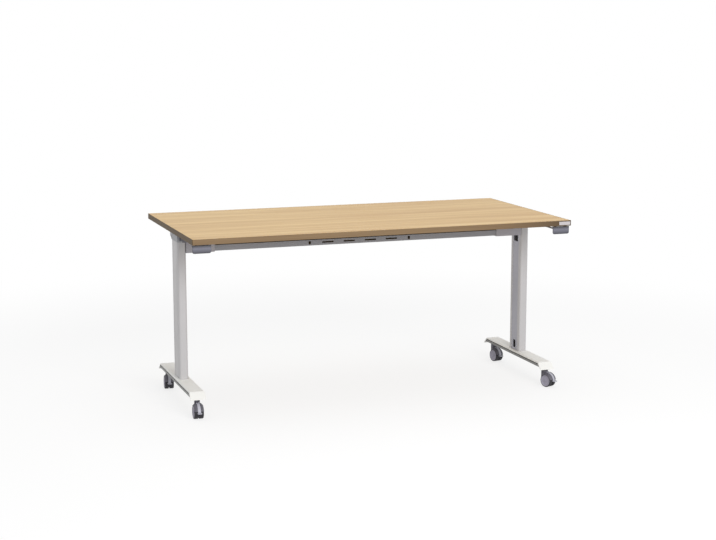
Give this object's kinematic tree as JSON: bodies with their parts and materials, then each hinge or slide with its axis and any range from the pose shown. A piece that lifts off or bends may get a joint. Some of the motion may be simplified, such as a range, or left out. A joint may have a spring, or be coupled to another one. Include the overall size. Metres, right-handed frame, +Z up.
{
  "type": "flip top training table",
  "caption": "Rectangular table with a wood grain top that tips up on wheeled column legs joined by a cable beam, released by levers under the front edge.",
  "frame": {"origin": "on the floor under the middle of the tabletop", "axes": "+X along the length, +Y to the back edge, +Z up; the user sits at -Y"},
  "size_m": [1.6, 0.8008, 0.73],
  "materials": {
    "oak_laminate": "wood grain laminate, satin",
    "oak_band": "edge band, satin",
    "pale_label": "bare plate, satin",
    "silver_paint": "powder coat, satin",
    "cover_plastic": "moulded strip, satin",
    "grey_paint": "powder coat, satin",
    "white_paint": "powder coat, satin",
    "cast_grey": "painted casting",
    "plated_steel": "zinc plated",
    "slate_plastic": "moulded, fine grain",
    "dark_plastic": "moulded, fine grain",
    "wheel_plastic": "moulded with a soft tread",
    "pedal_plastic": "moulded, fine grain"
  },
  "bodies": {
    "frame": {"cable_beam": "grey_paint", "foot_left": "white_paint", "foot_bolt_left": "plated_steel", "column_nut_left": "plated_steel", "column_left": "silver_paint", "column_cover_left": "cover_plastic", "flip_head_left": "cast_grey", "pivot_pin_left": "plated_steel", "beam_end_left": "silver_paint", "castor_stem_left_front": "plated_steel", "castor_stem_left_back": "plated_steel", "foot_right": "white_paint", "foot_bolt_right": "plated_steel", "column_nut_right": "plated_steel", "column_right": "silver_paint", "column_cover_right": "cover_plastic", "flip_head_right": "cast_grey", "pivot_pin_right": "plated_steel", "beam_end_right": "silver_paint", "castor_stem_right_front": "plated_steel", "castor_stem_right_back": "plated_steel"},
    "top": {"tabletop_board": "oak_laminate", "edge_band": "oak_band", "edge_label_plate": "pale_label", "top_bracket_left": "plated_steel", "latch_spring_left": "plated_steel", "lever_housing_left": "dark_plastic", "lever_pin_left": "plated_steel", "top_bracket_right": "plated_steel", "latch_spring_right": "plated_steel", "lever_housing_right": "dark_plastic", "lever_pin_right": "plated_steel"},
    "release_left": {"pull_rod_left": "plated_steel", "latch_bolt_left": "plated_steel"},
    "lever_left": {"release_lever_left": "slate_plastic"},
    "castor_left_front": {"castor_hood_left_front": "dark_plastic", "castor_axle_left_front": "plated_steel"},
    "pedal_left_front": {"brake_pedal_left_front": "pedal_plastic"},
    "wheel_left_front_left": {"castor_wheel_left_front_left": "wheel_plastic"},
    "wheel_left_front_right": {"castor_wheel_left_front_right": "wheel_plastic"},
    "castor_left_back": {"castor_hood_left_back": "dark_plastic", "castor_axle_left_back": "plated_steel"},
    "pedal_left_back": {"brake_pedal_left_back": "pedal_plastic"},
    "wheel_left_back_left": {"castor_wheel_left_back_left": "wheel_plastic"},
    "wheel_left_back_right": {"castor_wheel_left_back_right": "wheel_plastic"},
    "release_right": {"pull_rod_right": "plated_steel", "latch_bolt_right": "plated_steel"},
    "lever_right": {"release_lever_right": "slate_plastic"},
    "castor_right_front": {"castor_hood_right_front": "dark_plastic", "castor_axle_right_front": "plated_steel"},
    "pedal_right_front": {"brake_pedal_right_front": "pedal_plastic"},
    "wheel_right_front_left": {"castor_wheel_right_front_left": "wheel_plastic"},
    "wheel_right_front_right": {"castor_wheel_right_front_right": "wheel_plastic"},
    "castor_right_back": {"castor_hood_right_back": "dark_plastic", "castor_axle_right_back": "plated_steel"},
    "pedal_right_back": {"brake_pedal_right_back": "pedal_plastic"},
    "wheel_right_back_left": {"castor_wheel_right_back_left": "wheel_plastic"},
    "wheel_right_back_right": {"castor_wheel_right_back_right": "wheel_plastic"}
  },
  "joints": [
    {"name": "top_flip", "type": "hinge", "parent": "frame", "child": "top", "pos_m": [0, 0.062, 0.69], "axis": [-1, 0, 0], "range_deg": [0, 90]},
    {"name": "lever_left_pull", "type": "hinge", "parent": "top", "child": "lever_left", "pos_m": [-0.76, -0.384, 0.702], "axis": [-1, 0, 0], "range_deg": [0, 25], "stiffness_Nm_per_rad": 0.3, "springref_deg": -5.73},
    {"name": "release_left_slide", "type": "slide", "parent": "top", "child": "release_left", "axis": [0, -1, 0], "range_m": [0, 0.0068], "deforming": ["latch_spring_left"]},
    {"name": "castor_left_front_swivel", "type": "hinge", "parent": "frame", "child": "castor_left_front", "pos_m": [-0.76, -0.257, 0.073], "axis": [0, 0, 1], "continuous": true},
    {"name": "pedal_left_front_press", "type": "hinge", "parent": "castor_left_front", "child": "pedal_left_front", "pos_m": [-0.76124, -0.28063, 0.06072], "axis": [0.9986, -0.0523, 0], "range_deg": [0, 6]},
    {"name": "wheel_left_front_left_roll", "type": "hinge", "parent": "castor_left_front", "child": "wheel_left_front_left", "pos_m": [-0.76136, -0.28296, 0.0273], "axis": [0.9986, -0.0523, 0], "continuous": true},
    {"name": "wheel_left_front_right_roll", "type": "hinge", "parent": "castor_left_front", "child": "wheel_left_front_right", "pos_m": [-0.76136, -0.28296, 0.0273], "axis": [0.9986, -0.0523, 0], "continuous": true},
    {"name": "castor_left_back_swivel", "type": "hinge", "parent": "frame", "child": "castor_left_back", "pos_m": [-0.76, 0.257, 0.073], "axis": [0, 0, 1], "continuous": true},
    {"name": "pedal_left_back_press", "type": "hinge", "parent": "castor_left_back", "child": "pedal_left_back", "pos_m": [-0.76247, 0.23347, 0.06072], "axis": [0.9945, -0.1045, 0], "range_deg": [0, 6]},
    {"name": "wheel_left_back_left_roll", "type": "hinge", "parent": "castor_left_back", "child": "wheel_left_back_left", "pos_m": [-0.76272, 0.23114, 0.0273], "axis": [0.9945, -0.1045, 0], "continuous": true},
    {"name": "wheel_left_back_right_roll", "type": "hinge", "parent": "castor_left_back", "child": "wheel_left_back_right", "pos_m": [-0.76272, 0.23114, 0.0273], "axis": [0.9945, -0.1045, 0], "continuous": true},
    {"name": "lever_right_pull", "type": "hinge", "parent": "top", "child": "lever_right", "pos_m": [0.76, -0.384, 0.702], "axis": [-1, 0, 0], "range_deg": [0, 25], "stiffness_Nm_per_rad": 0.3, "springref_deg": -5.73},
    {"name": "release_right_slide", "type": "slide", "parent": "top", "child": "release_right", "axis": [0, -1, 0], "range_m": [0, 0.0068], "deforming": ["latch_spring_right"]},
    {"name": "castor_right_front_swivel", "type": "hinge", "parent": "frame", "child": "castor_right_front", "pos_m": [0.76, -0.257, 0.073], "axis": [0, 0, 1], "continuous": true},
    {"name": "pedal_right_front_press", "type": "hinge", "parent": "castor_right_front", "child": "pedal_right_front", "pos_m": [0.76886, -0.27894, 0.06072], "axis": [0.9272, 0.3746, 0], "range_deg": [0, 6]},
    {"name": "wheel_right_front_left_roll", "type": "hinge", "parent": "castor_right_front", "child": "wheel_right_front_left", "pos_m": [0.76974, -0.28111, 0.0273], "axis": [0.9272, 0.3746, 0], "continuous": true},
    {"name": "wheel_right_front_right_roll", "type": "hinge", "parent": "castor_right_front", "child": "wheel_right_front_right", "pos_m": [0.76974, -0.28111, 0.0273], "axis": [0.9272, 0.3746, 0], "continuous": true},
    {"name": "castor_right_back_swivel", "type": "hinge", "parent": "frame", "child": "castor_right_back", "pos_m": [0.76, 0.257, 0.073], "axis": [0, 0, 1], "continuous": true},
    {"name": "pedal_right_back_press", "type": "hinge", "parent": "castor_right_back", "child": "pedal_right_back", "pos_m": [0.76411, 0.2337, 0.06072], "axis": [0.9848, 0.1736, 0], "range_deg": [0, 6]},
    {"name": "wheel_right_back_left_roll", "type": "hinge", "parent": "castor_right_back", "child": "wheel_right_back_left", "pos_m": [0.76451, 0.23139, 0.0273], "axis": [0.9848, 0.1736, 0], "continuous": true},
    {"name": "wheel_right_back_right_roll", "type": "hinge", "parent": "castor_right_back", "child": "wheel_right_back_right", "pos_m": [0.76451, 0.23139, 0.0273], "axis": [0.9848, 0.1736, 0], "continuous": true}
  ],
  "couplings": [
    {"joint": "lever_left_pull", "follows": "release_left_slide", "rad_per_m": 64.1},
    {"joint": "lever_right_pull", "follows": "release_right_slide", "rad_per_m": 64.1}
  ]
}
